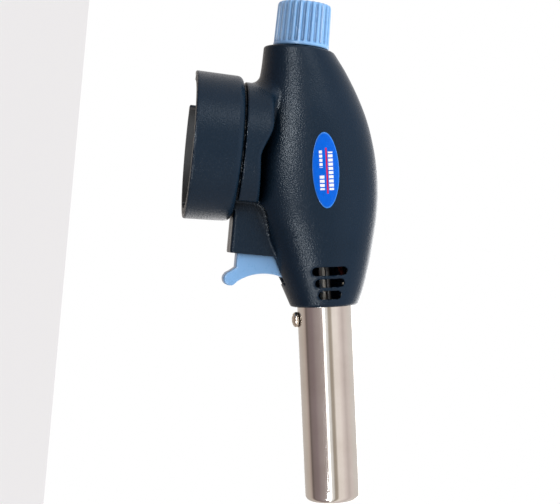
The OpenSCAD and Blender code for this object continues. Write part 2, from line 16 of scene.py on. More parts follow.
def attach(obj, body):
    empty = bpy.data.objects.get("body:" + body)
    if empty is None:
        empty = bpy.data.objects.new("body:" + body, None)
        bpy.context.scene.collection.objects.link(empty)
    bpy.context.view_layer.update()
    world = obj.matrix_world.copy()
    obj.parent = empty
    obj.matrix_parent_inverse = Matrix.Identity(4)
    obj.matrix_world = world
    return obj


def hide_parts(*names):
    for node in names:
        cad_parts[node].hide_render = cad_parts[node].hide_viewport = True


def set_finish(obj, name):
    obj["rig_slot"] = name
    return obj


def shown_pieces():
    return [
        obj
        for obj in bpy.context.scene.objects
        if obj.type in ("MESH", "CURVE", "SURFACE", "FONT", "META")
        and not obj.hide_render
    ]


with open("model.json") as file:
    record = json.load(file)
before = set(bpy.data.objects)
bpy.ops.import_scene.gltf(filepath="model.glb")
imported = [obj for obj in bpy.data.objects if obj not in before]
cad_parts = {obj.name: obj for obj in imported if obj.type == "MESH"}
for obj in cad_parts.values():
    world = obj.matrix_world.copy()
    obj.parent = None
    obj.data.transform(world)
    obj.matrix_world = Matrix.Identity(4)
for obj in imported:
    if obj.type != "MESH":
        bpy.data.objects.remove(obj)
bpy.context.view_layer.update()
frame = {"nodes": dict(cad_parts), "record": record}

MM = 0.001

# ---------------------------------------------------------------- sizes shared with the CAD, in mm
BACK_LINE = [
    (-35, 45.2), (-29, 49.7), (-21.4, 54.4), (-13.7, 58.2), (-6, 60.9), (1.9, 62.9),
    (9.8, 64.1), (17.8, 64.4), (25.9, 64.0), (34, 63.4), (42.1, 62.3), (47.3, 61.0), (52, 59.4),
]
FRONT_LINE = [
    (-35, 21.85), (-27, 21.6), (-18, 20.6), (0, 19.8), (17, 21.8), (27, 26.6), (34, 30.0),
    (40.7, 33.3), (46.5, 36.5), (52, 39.5),
]
WIDTH_LINE = [
    (-35, 11.4), (-26, 13.6), (-14, 16.2), (0, 17.7), (10, 18.0), (22, 17.4), (34, 15.2),
    (42, 13.1), (47, 11.5), (52, 9.9),
]
POWER_LINE = [(-35, 2.0), (-20, 2.15), (0, 2.35), (20, 2.35), (40, 2.1), (52, 2.0)]
WALL = 2.0
KNOB_END = -35.0
TUBE_ANGLE = math.radians(7.75)
TUBE_AXIS = np.array([math.cos(TUBE_ANGLE), 0, math.sin(TUBE_ANGLE)])
TUBE_DOWN = np.array([math.sin(TUBE_ANGLE), 0, -math.cos(TUBE_ANGLE)])
OUTLET = np.array([49.7, 0, 50.2])
TUBE_R, TUBE_T, TUBE_OUT, TUBE_IN, TIP_R = 9.3, 0.6, 64.7, 2.2, 2.0
TUBE_SCREW = 3.75
VENTS = [(-12.3, 11.7), (-8.4, 9.7), (-4.45, 7.6)]
VENT_R = 1.4
COLLAR_R, COLLAR_TOP_R, COLLAR_H, COLLAR_ROUND = 24.5, 24.05, 15.7, 2.0
NECK_R = 22.3
SEAT_R, LEDGE = 22.9, 11.3
NECK_BORE_R, PASSAGE_R, PASSAGE_TOP, STEM_HOLE_R = 20.2, 10.5, 30, 5
NOTCH_R, NOTCH_DEPTH, NOTCH_FROM, NOTCH_TO = 20.3, 3.0, 128, 185
VALVE_Z = 34.2
GUARD_HW, GUARD_Z, GUARD_END = 7.0, 16.1, 34.4
ARCH_X, ARCH_Z, ARCH_R, ARCH_ANGLE = 17.4, 21.9, 5.0, math.radians(15.85)
TRIGGER_HW, TRIGGER_GAP = 4.0, 0.45
INNER_RIBS = [
    ((-21, 7.1, 29.2), (-19, 14, 39.2)), ((-2, 7.1, 25), (2, 12, 37)), ((13, 4.25, 22.5), (15, 6.65, 29.5)),
]
TRIGGER_OUTLINE = [
    (31.5, 18.7), (39, 18.7), (41.2, 15.9), (45, 17.9), (45, 30), (41.2, 33.5), (41.2, 35.2), (31.5, 35.2),
]
FINGER_X, FINGER_Z, FINGER_R = 56.7, 29.65, 16.4
HOOK_X, HOOK_Z, HOOK_R = 43, 17.2, 2.2
SCREW_SPOTS = [(-18, 47.5), (20, 57.2), (34, 39.2)]
SHANK_HOLE_R, PILOT_HOLE_R, PILOT_DEPTH = 1.6, 1.45, 10
TUBE_SCREW_HEAD_R, TUBE_SCREW_SHANK_R, TUBE_SCREW_END, DRIVER_SLOT = 2.6, 1.45, 5.6, 0.35
HEAD_HOLE_R, HEAD_SEAT, BOSS_R, BOSS_TOP = 3.0, 9.6, 2.8, 14
KNOB_START, KNOB_H, KNOB_R0, KNOB_R1, KNOB_RIBS, CAP_RISE = -35.5, 14.8, 9.35, 8.85, 26, 0.4
BADGE_A, BADGE_B, BADGE_X, BADGE_Z = 12.3, 4.4, 5.1, 43.5

# ---------------------------------------------------------------- sizes of the looks alone, in mm
MOUTH_DISH, MOUTH_BACK = 0.008, 0.35
NECK_TOP, NECK_RISE = 21.9, 3.4
STEP_START, STEP_RUN, FRONT_START, FRONT_SLOPE = 3.5, 11.5, 3, 0.1
FILLET, FILLET_GROWTH, FILLET_START, FILLET_RUN = 0.9, 2.0, -7, 13
GROOVE_R, GROOVE_FLATTEN, GROOVE_Z = 1, 2, 0.35
CUT_EDGE = 0.3
RIB_GROOVE_DEPTH, RIB_GROOVE_SHARE, RIB_FROM, RIB_FADE = 0.9, 0.29, 1.2, 0.7
KNOB_TOP_ROUND = 0.9
TRIGGER_GRID, SCREW_GRID = 0.25, 0.12
BADGE_LIFT, BADGE_UNDER = 0.17, 0.02


# ---------------------------------------------------------------- distance functions
def curve(table, x):
    """Smooth value at x of a table of (position, value)."""
    px, py = np.array(table, float).T
    slope = np.gradient(py, px)
    slope[1:-1] = (py[2:] - py[:-2]) / (px[2:] - px[:-2])
    x = np.clip(x, px[0], px[-1])
    i = np.clip(np.searchsorted(px, x, "right") - 1, 0, len(px) - 2)
    d = px[i + 1] - px[i]
    u = (x - px[i]) / d
    return (
        py[i] * (2 * u**3 - 3 * u**2 + 1) + py[i + 1] * (3 * u**2 - 2 * u**3)
        + d * (slope[i] * (u**3 - 2 * u**2 + u) + slope[i + 1] * (u**3 - u**2))
    )


def both(a, b, r):
    """Inside a and inside b, with the edge between them rounded to radius r."""
    return np.minimum(np.maximum(a, b), -r) + np.hypot(np.maximum(a + r, 0), np.maximum(b + r, 0))


def either(a, b, r):
    """Inside a or b, with a fillet of radius r in the corner between them."""
    return -both(-a, -b, r)


def block(x, y, z, lo, hi):
    """Box between two corners."""
    return np.maximum.reduce(np.broadcast_arrays(
        lo[0] - x, x - hi[0], lo[1] - y, y - hi[1], lo[2] - z, z - hi[2]))


def hull(x, y, z):
    """Long egg-shaped body of the housing."""
    back, front = curve(BACK_LINE, x), curve(FRONT_LINE, x)
    half, mid = (back - front) / 2, (back + front) / 2
    width, power = curve(WIDTH_LINE, x), curve(POWER_LINE, x)
    u, v = np.abs(y) / width, np.abs(z - mid) / half
    r = np.maximum(u**power + v**power, 1e-9) ** (1 / power)
    grade = np.hypot(u ** (power - 1) / width, v ** (power - 1) / half) * r ** (1 - power)
    return (r - 1) / np.maximum(grade, 0.02)


def guard_outline(x, z):
    """Side outline of the trigger guard in X and Z: an arch against the neck, open at its end."""
    dx, dz = x - ARCH_X - ARCH_R, z - ARCH_Z
    across = dz * math.cos(ARCH_ANGLE) - dx * math.sin(ARCH_ANGLE)
    beyond = np.maximum(across - ARCH_R, -dx * math.cos(ARCH_ANGLE) - dz * math.sin(ARCH_ANGLE))
    beside = np.maximum(ARCH_X - x, dz)
    return np.minimum(np.hypot(dx, dz) - ARCH_R, np.minimum(beyond, beside))


def guard_recess(x, y, z):
    """Pockets beside the guard, cut into the neck and the foot of the hull."""
    return np.maximum(np.maximum(guard_outline(x, z), GUARD_HW - np.abs(y)), GUARD_Z - 0.1 - z)


def tube_coordinates(x, y, z):
    """Distance along the burner tube's axis from the mouth, and towards the cartridge."""
    dx, dz = x - OUTLET[0], z - OUTLET[2]
    return dx * TUBE_AXIS[0] + dz * TUBE_AXIS[2], dx * TUBE_DOWN[0] + dz * TUBE_DOWN[2]


def housing_outside(x, y, z):
    """Outside of the housing as a solid."""
    along, down = tube_coordinates(x, y, z)
    mouth = along + MOUTH_DISH * (down**2 + y**2) - MOUTH_BACK
    body = both(both(hull(x, y, z), KNOB_END - x, 0.7), mouth, 0.6)
    rho = np.hypot(x, y)
    cone = rho - COLLAR_R + (COLLAR_R - COLLAR_TOP_R) * z / COLLAR_H
    collar = both(both(cone, z - COLLAR_H, COLLAR_ROUND), -z, 0.5)
    step = np.clip((STEP_START - x) / STEP_RUN, 0, 1)
    neck_top = NECK_TOP + NECK_RISE * step**2 * (3 - 2 * step)
    neck_top = neck_top + FRONT_SLOPE * np.maximum(x - FRONT_START, 0)
    neck = np.maximum(both(rho - NECK_R, z - neck_top, 1.3), COLLAR_H - 3 - z)
    fillet = FILLET + FILLET_GROWTH * np.clip((FILLET_START - x) / FILLET_RUN, 0, 1)
    groove_z = (z - COLLAR_H - GROOVE_Z) * GROOVE_FLATTEN
    groove = (np.hypot(rho - NECK_R, groove_z) - GROOVE_R) / GROOVE_FLATTEN
    body = both(either(body, neck, fillet), -np.minimum(guard_recess(x, y, z), groove), CUT_EDGE)
    outline = np.minimum(guard_outline(x, z), np.maximum(ARCH_X + ARCH_R + 1 - x, z - 33))
    front = both(GUARD_Z - z, np.abs(y) - GUARD_HW, 1.2)
    guard = both(np.maximum(front, outline), x - GUARD_END, 0.4)
    body = either(body, guard, 0.4)
    return either(body, collar, 0.1)


def housing_space(x, y, z):
    """Hollow of both halves apart from the tube's bore: inside the skin, and the openings."""
    rho = np.hypot(x, y)
    inner_hull = np.maximum(hull(x, y, z) + WALL, KNOB_END + WALL - x)
    inner_hull = np.maximum(inner_hull, WALL - guard_recess(x, y, z))
    seat = np.maximum(rho - SEAT_R, z - LEDGE)
    neck = np.maximum(rho - NECK_BORE_R, z - NECK_TOP + WALL)
    neck = np.minimum(neck, np.maximum(rho - PASSAGE_R, z - PASSAGE_TOP))
    neck = np.maximum(neck, np.minimum(x - (ARCH_X - WALL), z - (GUARD_Z - WALL)))
    gap = TRIGGER_HW + TRIGGER_GAP
    slot = block(x, y, z, (7, -gap, GUARD_Z + 2.1), (GUARD_END + 1, gap, 34.1))
    front = block(x, y, z, (26.5, -gap, 22), (43.2, gap, 36.5))
    stem = np.maximum(np.hypot(y, z - VALVE_Z) - STEM_HOLE_R, x - KNOB_END - 3)
    return np.minimum.reduce(np.broadcast_arrays(inner_hull, seat, neck, slot, front, stem))


def inner_fittings(x, y, z):
    """Screw bosses, the ribs for the valve and the igniter, and the lip round the tube."""
    along, down = tube_coordinates(x, y, z)
    lip = np.maximum(np.abs(np.hypot(down, y) - TUBE_R - 0.65) - 0.55, np.abs(along + 1.3) - 0.9)
    parts = [lip]
    for sx, sz in SCREW_SPOTS:
        parts.append(np.maximum(np.hypot(x - sx, z - sz) - BOSS_R, y - BOSS_TOP))
    for lo, hi in INNER_RIBS:
        parts.append(block(x, y, z, lo, hi))
    return np.minimum.reduce(np.broadcast_arrays(*parts))


def vent_holes(x, y, z):
    """The three rounded air slots."""
    along, down = tube_coordinates(x, y, z)
    slots = [
        np.hypot(along - t, np.maximum(np.abs(down) - length / 2 + VENT_R, 0)) - VENT_R
        for t, length in VENTS
    ]
    return np.minimum.reduce(slots) + 0 * y


def screw_holes(x, y, z, shank_r, head_y):
    """Holes for the housing's screws, with a recess for the head from head_y outwards."""
    holes = []
    for sx, sz in SCREW_SPOTS:
        d = np.hypot(x - sx, z - sz)
        holes += [d - shank_r + 0 * y, np.maximum(d - HEAD_HOLE_R, head_y - y)]
    return np.minimum.reduce(np.broadcast_arrays(*holes))


def rim_notch(x, y, z):
    """Arc cut out of the collar's rim."""
    angle = np.degrees(np.arctan2(y, x))
    rho = np.hypot(x, y)
    middle, half = (NOTCH_FROM + NOTCH_TO) / 2, (NOTCH_TO - NOTCH_FROM) / 2
    sideways = (np.abs(angle - middle) - half) * math.pi / 180 * COLLAR_R
    return both(both(sideways, z - NOTCH_DEPTH, 0.8), NOTCH_R - rho, 0)


# ---------------------------------------------------------------- meshing
PROBE, MOST_MOVE = 0.02, 0.3
EVENING = 0.4


def surface_nets(value, lo, step):
    """Closed quad mesh of the zero surface of a grid of distances: vertices and faces."""
    inside = value < 0
    cells = tuple(n - 1 for n in value.shape)
    corners = [(i, j, k) for i in (0, 1) for j in (0, 1) for k in (0, 1)]

    def at(array, c):
        return array[c[0]:c[0] + cells[0], c[1]:c[1] + cells[1], c[2]:c[2] + cells[2]]

    count = sum(at(inside, c).astype(np.int8) for c in corners)
    crossed = (count > 0) & (count < 8)
    index = np.full(cells, -1)
    index[crossed] = np.arange(crossed.sum())
    total = np.zeros((crossed.sum(), 3))
    hits = np.zeros(crossed.sum())
    for axis in range(3):
        for c in corners:
            if c[axis]:
                continue
            e = tuple(1 if a == axis else c[a] for a in range(3))
            v0, v1 = at(value, c)[crossed], at(value, e)[crossed]
            cut = (v0 < 0) != (v1 < 0)
            t = v0[cut] / (v0[cut] - v1[cut])
            point = np.tile(np.array(c, float), (cut.sum(), 1))
            point[:, axis] = t
            total[cut] += point
            hits[cut] += 1
    verts = (np.argwhere(crossed) + total / hits[:, None]) * step + lo
    faces = []
    for axis in range(3):
        b, c = (axis + 1) % 3, (axis + 2) % 3
        first = [slice(1, -1)] * 3
        first[axis] = slice(0, -1)
        second = list(first)
        second[axis] = slice(1, None)
        here, there = inside[tuple(first)], inside[tuple(second)]
        for mask, order in ((here & ~there, 1), (~here & there, -1)):
            at_edge = np.argwhere(mask) + 1
            at_edge[:, axis] -= 1
            ring = []
            for db, dc in ((1, 1), (0, 1), (0, 0), (1, 0)):
                cell = at_edge.copy()
                cell[:, b] -= db
                cell[:, c] -= dc
                ring.append(index[tuple(cell.T)])
            faces.append(np.stack(ring, 1)[:, ::order])
    return verts, np.concatenate(faces)


def rise(distance, verts):
    """Change of a distance function across each vertex, along X, Y and Z."""
    return np.stack([
        distance(*(verts + PROBE * np.eye(3)[k]).T) - distance(*(verts - PROBE * np.eye(3)[k]).T)
        for k in range(3)], 1)


def settle(verts, faces, distance, flat, rounds=3):
    """Evens out the vertices and puts them back on the surface; flat ones keep their Y at 0."""
    a = faces.ravel()
    b = np.roll(faces, -1, 1).ravel()
    ends, others = np.concatenate([a, b]), np.concatenate([b, a])
    weight = np.bincount(ends, minlength=len(verts))[:, None]
    for turn in range(2 * rounds):
        if turn < rounds:
            near = np.stack([np.bincount(ends, verts[others, k], len(verts)) for k in range(3)], 1)
            mean = near / weight
            mean[flat] = verts[flat]
            verts = verts + EVENING * (mean - verts)
        d = distance(*verts.T)
        grade = rise(distance, verts) / (2 * PROBE)
        grade[flat, 1] = 0
        size = np.maximum((grade**2).sum(1), 0.25)
        move = np.clip(d / size, -MOST_MOVE, MOST_MOVE)[:, None] * grade
        verts = verts - np.where(flat[:, None] & (d < -MOST_MOVE)[:, None], 0, move)
    return verts


def mesh_distance(distance, lo, hi, step, cut=False):
    """Meshes a distance function. With cut, only Y > 0 is kept, closed by a flat face at Y = 0."""
    counts = [int(math.ceil((hi[k] - lo[k]) / step)) + 1 for k in range(3)]
    start = np.array(lo, float)
    if cut:
        start[1] = -step / 2
    axes = [start[k] + step * np.arange(counts[k]) for k in range(3)]
    x, y, z = np.meshgrid(*axes, indexing="ij", sparse=True)
    value = distance(x, y, z) + np.zeros((len(axes[0]), len(axes[1]), len(axes[2])))
    if cut:
        value[:, 0, :] = np.abs(value[:, 1, :]) + 1e-3
    verts, faces = surface_nets(value, start, step)
    flat = np.zeros(len(verts), bool)
    if cut:
        flat = verts[:, 1] < step * 0.499
        verts[flat, 1] = 0
    return settle(verts, faces, distance, flat), faces, flat


def revolve(outline, segments, closed, shrink=None):
    """Revolves an outline of (radius, height) about local Z. A closed outline makes a ring;
    an open one starts and ends on the axis. shrink(angle, height, radius) is taken off the radius."""
    r, h = np.array(outline, float).T
    angle = 2 * math.pi * np.arange(segments) / segments
    radius = np.tile(r[:, None], (1, segments))
    height = np.tile(h[:, None], (1, segments))
    if shrink:
        radius = radius - shrink(angle[None, :], height, radius)
    ring = np.stack([radius * np.cos(angle), radius * np.sin(angle), height], 2)
    n = len(r)
    faces = []
    verts = ring.reshape(-1, 3)
    spans = range(n) if closed else range(1, n - 2)
    for i in spans:
        j = (i + 1) % n
        for s in range(segments):
            t = (s + 1) % segments
            faces.append((i * segments + s, i * segments + t, j * segments + t, j * segments + s))
    if not closed:
        for pole, row, flip in ((0, 1, False), (n - 1, n - 2, True)):
            for s in range(segments):
                t = (s + 1) % segments
                face = (pole * segments, row * segments + t, row * segments + s)
                faces.append(face[::-1] if flip else face)
    return verts, faces


def build(name, verts, faces, body, node, slot, crease=40):
    """Makes the mesh object of a piece, given in mm, that replaces a CAD node."""
    mesh = bpy.data.meshes.new(name)
    mesh.from_pydata((np.asarray(verts) * MM).tolist(), [], [tuple(f) for f in faces])
    mesh.validate()
    obj = bpy.data.objects.new(name, mesh)
    bpy.context.scene.collection.objects.link(obj)
    used = set(i for p in mesh.polygons for i in p.vertices)
    if len(used) < len(mesh.vertices):
        bpy.context.view_layer.objects.active = obj
        obj.select_set(True)
        bpy.ops.object.mode_set(mode="EDIT")
        bpy.ops.mesh.select_all(action="SELECT")
        bpy.ops.mesh.delete_loose()
        bpy.ops.object.mode_set(mode="OBJECT")
        obj.select_set(False)
    mesh.shade_smooth()
    mesh.set_sharp_from_angle(angle=math.radians(crease))
    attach(obj, body)
    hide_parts(node)
    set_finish(obj, slot)
    return obj


def placed(verts, origin, x_axis, z_axis):
    """Local coordinates turned into the part's frame."""
    x_axis, z_axis = np.array(x_axis, float), np.array(z_axis, float)
    return verts @ np.stack([x_axis, np.cross(z_axis, x_axis), z_axis]) + np.array(origin, float)


# ---------------------------------------------------------------- housing halves
HOUSING_GRID = 0.45
HOUSING_LO, HOUSING_HI = (-36, 0, -1), (53, 25.5, 65.5)
NO_HEAD = 99
SEAM_V = 0.12


def shell(x, y, z):
    """Walls, fittings, openings and the tube's bore, which the two halves share."""
    outside = housing_outside(x, y, z)
    space = np.maximum(housing_space(x, y, z), -inner_fittings(x, y, z))
    along, down = tube_coordinates(x, y, z)
    bore = np.maximum(np.hypot(down, y) - TUBE_R - 0.1, -along - TUBE_IN - 0.2)
    space = np.minimum(space, bore)
    return both(outside, -space, CUT_EDGE)


def left_shell(x, y, z):
    """Half with the vents and the blind screw holes, seen here on +Y and mirrored later."""
    holes = np.maximum(screw_holes(x, y, z, PILOT_HOLE_R, NO_HEAD), y - PILOT_DEPTH)
    return np.maximum(both(shell(x, y, z), -vent_holes(x, y, z), CUT_EDGE), -holes)


def right_shell(x, y, z):
    """Half with the screw heads and the rim notch."""
    cut = np.minimum(screw_holes(x, y, z, SHANK_HOLE_R, HEAD_SEAT), rim_notch(x, y, z))
    return both(shell(x, y, z), -cut, 0.25)


for side, distance, sign in (("left", left_shell, -1), ("right", right_shell, 1)):
    verts, faces, flat = mesh_distance(distance, HOUSING_LO, HOUSING_HI, HOUSING_GRID, cut=True)
    edge = flat & (np.abs(housing_outside(*verts.T)) < 0.15)
    pull = rise(housing_outside, verts[edge])
    pull[:, 1] = 0
    verts[edge] -= SEAM_V * pull / np.linalg.norm(pull, axis=1)[:, None]
    verts[:, 1] *= sign
    build(f"housing_skin_{side}", verts, faces[:, ::sign], "torch_body", f"housing_{side}",
          "housing_plastic")


# ---------------------------------------------------------------- trigger
def polygon_distance(x, z, points):
    """Distance to a polygon in X and Z, negative inside."""
    best = np.full(np.broadcast(x, z).shape, 1e9)
    inside = np.zeros(best.shape, bool)
    for (ax, az), (bx, bz) in zip(points, points[1:] + points[:1]):
        ex, ez = bx - ax, bz - az
        t = np.clip(((x - ax) * ex + (z - az) * ez) / (ex * ex + ez * ez), 0, 1)
        best = np.minimum(best, np.hypot(x - ax - t * ex, z - az - t * ez))
        if az != bz:
            inside ^= ((az > z) != (bz > z)) & (x < ax + (z - az) * ex / ez)
    return np.where(inside, -best, best)


def trigger_shape(x, y, z):
    """Hooked trigger with a finger curve, its edges softened."""
    outline = polygon_distance(x, z, TRIGGER_OUTLINE)
    outline = both(outline, FINGER_R - np.hypot(x - FINGER_X, z - FINGER_Z), 0.3)
    outline = either(outline, np.hypot(x - HOOK_X, z - HOOK_Z) - HOOK_R, 0.5)
    return both(outline, np.abs(y) - TRIGGER_HW, 0.7)


verts, faces, _ = mesh_distance(trigger_shape, (31, -4.6, 14.4), (46, 4.7, 35.8), TRIGGER_GRID)
build("trigger_body", verts, faces, "trigger_slider", "trigger", "light_blue_plastic", 50)


# ---------------------------------------------------------------- knob and its cap
def knob_ribs(angle, height, radius):
    """Depth of the grooves between the ribs, rounded at their ends and only on the outside."""
    phase = (angle * KNOB_RIBS / (2 * math.pi)) % 1
    across = np.minimum(phase, 1 - phase) / RIB_GROOVE_SHARE
    round_groove = np.sqrt(np.clip(1 - across**2, 0, 1))
    start = np.clip((height - RIB_FROM) / RIB_FADE, 0, 1)
    finish = np.clip((KNOB_H + 0.3 - height) / 1.6, 0, 1)
    outside = radius > 7.6
    return RIB_GROOVE_DEPTH * round_groove * np.sqrt(start) * np.sqrt(finish) * outside


def knob_outline():
    """Closed outline: up the ribbed side, over the top, down the bore and back under."""
    side = [(KNOB_R0, 0.15), (KNOB_R0, 1.0), (KNOB_R0 - 0.12, 1.15)]
    for h in np.concatenate([np.linspace(1.2, 1.9, 6), np.linspace(2.2, KNOB_H - 1.2, 12)]):
        side.append((KNOB_R0 - 0.12 + (KNOB_R1 - KNOB_R0 + 0.12) * h / KNOB_H, h))
    middle_r, middle_h = KNOB_R1 - KNOB_TOP_ROUND, KNOB_H - KNOB_TOP_ROUND
    for a in np.linspace(0, math.pi / 2, 6)[1:]:
        side.append((middle_r + KNOB_TOP_ROUND * math.cos(a), middle_h + KNOB_TOP_ROUND * math.sin(a)))
    inner = [(6.85, KNOB_H), (6.7, KNOB_H - 0.15), (6.7, KNOB_H - 0.5), (3.1, KNOB_H - 0.5), (3.1, 11.2),
             (1.6, 11.2), (1.6, 9.6), (2.55, 9.6), (2.55, 2), (7.2, 2), (7.2, 0), (KNOB_R0 - 0.15, 0)]
    return side + inner


knob_place = ((KNOB_START, 0, VALVE_Z), (0, 0, 1), (-1, 0, 0))
verts, faces = revolve(knob_outline(), KNOB_RIBS * 14, True, knob_ribs)
build("knob_body", placed(verts, *knob_place), faces, "knob_and_stem", "knob", "light_blue_plastic", 60)

CROWN = [
    (0, KNOB_H - 0.45), (6.6, KNOB_H - 0.45), (6.6, KNOB_H - 0.1), (6.5, KNOB_H + 0.1),
    (6.2, KNOB_H + 0.2), (5.6, KNOB_H + 0.27), (4.4, KNOB_H + 0.34), (2.5, KNOB_H + 0.39),
    (0, KNOB_H + CAP_RISE),
]
verts, faces = revolve(CROWN, 96, False)
build("knob_crown", placed(verts, *knob_place), faces, "knob_and_stem", "knob_cap", "light_blue_plastic")


# ---------------------------------------------------------------- burner tube and its screw
def tube_outline():
    """Closed outline of the drawn tube, rolled in at the tip."""
    tip = TUBE_OUT - TIP_R
    points = [(TUBE_R, -TUBE_IN)]
    points += [(TUBE_R, t) for t in np.linspace(0, tip, 24)]
    for a in np.linspace(0, math.pi / 2, 10)[1:]:
        points.append((TUBE_R - TIP_R + TIP_R * math.cos(a), tip + TIP_R * math.sin(a)))
    inner = TIP_R - TUBE_T
    for a in np.linspace(math.pi / 2, 0, 8):
        points.append((TUBE_R - TIP_R + inner * math.cos(a), tip + inner * math.sin(a)))
    points += [(TUBE_R - TUBE_T, t) for t in np.linspace(tip, 0, 12)[1:]]
    points.append((TUBE_R - TUBE_T, -TUBE_IN))
    return points


verts, faces = revolve(tube_outline(), 160, True)
build("burner_tube_skin", placed(verts, OUTLET, TUBE_DOWN, TUBE_AXIS), faces, "torch_body",
      "burner_tube", "tube_steel", 50)


def screw_shape(x, y, z):
    """Slotted pan head on its shank, standing on the tube's wall."""
    rho = np.hypot(x, y)
    base = TUBE_R + 0.05
    dome = np.sqrt(rho**2 + (z - base + 2.2) ** 2) - 4.2
    head = both(both(rho - TUBE_SCREW_HEAD_R, dome, 0.5), base - z, 0.15)
    shank = np.maximum(np.maximum(rho - TUBE_SCREW_SHANK_R, TUBE_SCREW_END - z), z - base - 0.5)
    slot = np.maximum(np.abs(y) - DRIVER_SLOT, base + 1.15 - z)
    return both(either(head, shank, 0.1), -slot, 0.08)


verts, faces, _ = mesh_distance(screw_shape, (-2.8, -2.8, 5.2), (2.8, 2.8, 11.6), SCREW_GRID)
screw_origin = OUTLET + TUBE_SCREW * TUBE_AXIS
build("tube_screw_head", placed(verts, screw_origin, TUBE_AXIS, TUBE_DOWN), faces, "torch_body",
      "tube_screw", "screw_steel", 35)


# ---------------------------------------------------------------- badge
def badge_mesh(rings=14, segments=96):
    """Thin oval film on the -Y skin with a rolled edge."""
    levels = [(r / rings, BADGE_LIFT) for r in range(1, rings)]
    levels += [(1.0 - 0.008, 0.15), (1.0, 0.08), (1.0, BADGE_UNDER)]
    levels += [(r / rings, BADGE_UNDER) for r in range(rings - 1, 0, -1)]
    angle = 2 * math.pi * np.arange(segments) / segments
    rows = [(np.zeros(1), np.zeros(1), BADGE_LIFT)]
    rows += [(r * BADGE_A * np.cos(angle), r * BADGE_B * np.sin(angle), lift) for r, lift in levels]
    rows += [(np.zeros(1), np.zeros(1), BADGE_UNDER)]
    verts = []
    for u, v, lift in rows:
        x = BADGE_X + u * TUBE_AXIS[0] - v * TUBE_AXIS[2]
        z = BADGE_Z + u * TUBE_AXIS[2] + v * TUBE_AXIS[0]
        y = np.full(len(x), -17.0)
        for _ in range(12):
            y = y + hull(x, y, z)
        verts.append(np.stack([x, y - lift, z], 1))
    faces = []
    starts = np.cumsum([0] + [len(v) for v in verts])
    for i in range(len(levels) + 1):
        for s in range(segments):
            t = (s + 1) % segments
            a, b = starts[i], starts[i + 1]
            if i == 0:
                faces.append((a, b + s, b + t))
            elif i == len(levels):
                faces.append((a + t, a + s, b))
            else:
                faces.append((a + s, b + s, b + t, a + t))
    return np.concatenate(verts), faces


verts, faces = badge_mesh()
build("badge_film", verts, faces, "torch_body", "badge", "badge_print", 60)


# ---------------------------------------------------------------- materials
def add(tree, kind, inputs=None, **settings):
    """Adds a shader node; inputs are numbers, colours or the sockets to link."""
    node = tree.nodes.new(kind)
    for key, value in settings.items():
        setattr(node, key, value)
    for key, value in (inputs or {}).items():
        if isinstance(value, bpy.types.NodeSocket):
            tree.links.new(value, node.inputs[key])
        else:
            node.inputs[key].default_value = value
    return node


def ramp(tree, factor, stops):
    """Colour ramp from rising (position, grey or colour) stops."""
    node = add(tree, "ShaderNodeValToRGB", {"Fac": factor})
    points = node.color_ramp.elements
    points.remove(points[1])
    for number, (place, colour) in enumerate(stops):
        point = points[0] if number == 0 else points.new(place)
        point.position = place
        colour = (colour,) * 3 if isinstance(colour, (int, float)) else colour
        point.color = (*colour, 1)
    return node.outputs["Color"]


def remap(tree, value, from_low, from_high, low, high):
    """Maps from_low..from_high to low..high and stops at its ends."""
    return add(tree, "ShaderNodeMapRange", {
        "Value": value, "From Min": from_low, "From Max": from_high, "To Min": low, "To Max": high,
    }).outputs["Result"]


def spread(tree, factor, low, high):
    """Maps 0.3..0.7 of a noise, where most of it lies, to low..high."""
    return remap(tree, factor, 0.3, 0.7, low, high)


def times(tree, colour, factor):
    """Colour multiplied by a factor."""
    node = add(tree, "ShaderNodeMix", {"Factor": 1.0}, data_type="RGBA", blend_type="MULTIPLY")
    tree.links.new(colour, node.inputs["A"])
    tree.links.new(factor, node.inputs["B"])
    return node.outputs["Result"]


def shaded(name, base, metallic=0.0, **fixed):
    """A material with its Principled shader, its plain colour and the settings that stay fixed."""
    material = bpy.data.materials.new(name)
    material.use_nodes = True
    tree = material.node_tree
    tree.nodes.clear()
    shader = add(tree, "ShaderNodeBsdfPrincipled", {"Base Color": (*base, 1), "Metallic": metallic})
    for key, value in fixed.items():
        shader.inputs[key.replace("_", " ")].default_value = value
    output = add(tree, "ShaderNodeOutputMaterial", {"Surface": shader.outputs["BSDF"]})
    output.is_active_output = True
    where = add(tree, "ShaderNodeTexCoord").outputs["Object"]
    return material, tree, shader, where


def noise(tree, where, scale, detail=3.0, rough=0.55):
    """Noise of so many cells to the metre."""
    return add(tree, "ShaderNodeTexNoise", {
        "Vector": where, "Scale": scale, "Detail": detail, "Roughness": rough}).outputs["Fac"]


def tint(tree, factor, dark, light):
    """Colour between dark and light by a noise."""
    node = add(tree, "ShaderNodeMix", {"Factor": spread(tree, factor, 0.0, 1.0)},
               data_type="RGBA")
    node.inputs["A"].default_value = (*dark, 1)
    node.inputs["B"].default_value = (*light, 1)
    return node.outputs["Result"]


def link(tree, shader, **sockets):
    """Links node outputs to the shader's sockets by name."""
    for key, value in sockets.items():
        tree.links.new(value, shader.inputs[key.replace("_", " ")])


def bump(tree, height, strength, depth):
    """Normal of a surface that the height raises by up to depth, in metres."""
    return add(tree, "ShaderNodeBump", {
        "Height": height, "Strength": strength, "Distance": depth}).outputs["Normal"]


def paint_hollow_shade(tree, colour, reach, least):
    """Painted shade: colour that sinks to the least share of itself where little is open within reach, in
    mm.
    """
    open_sky = add(tree, "ShaderNodeAmbientOcclusion", {"Distance": reach * MM}, samples=8).outputs["AO"]
    return times(tree, colour, remap(tree, open_sky, 0.25, 0.85, least, 1.0))


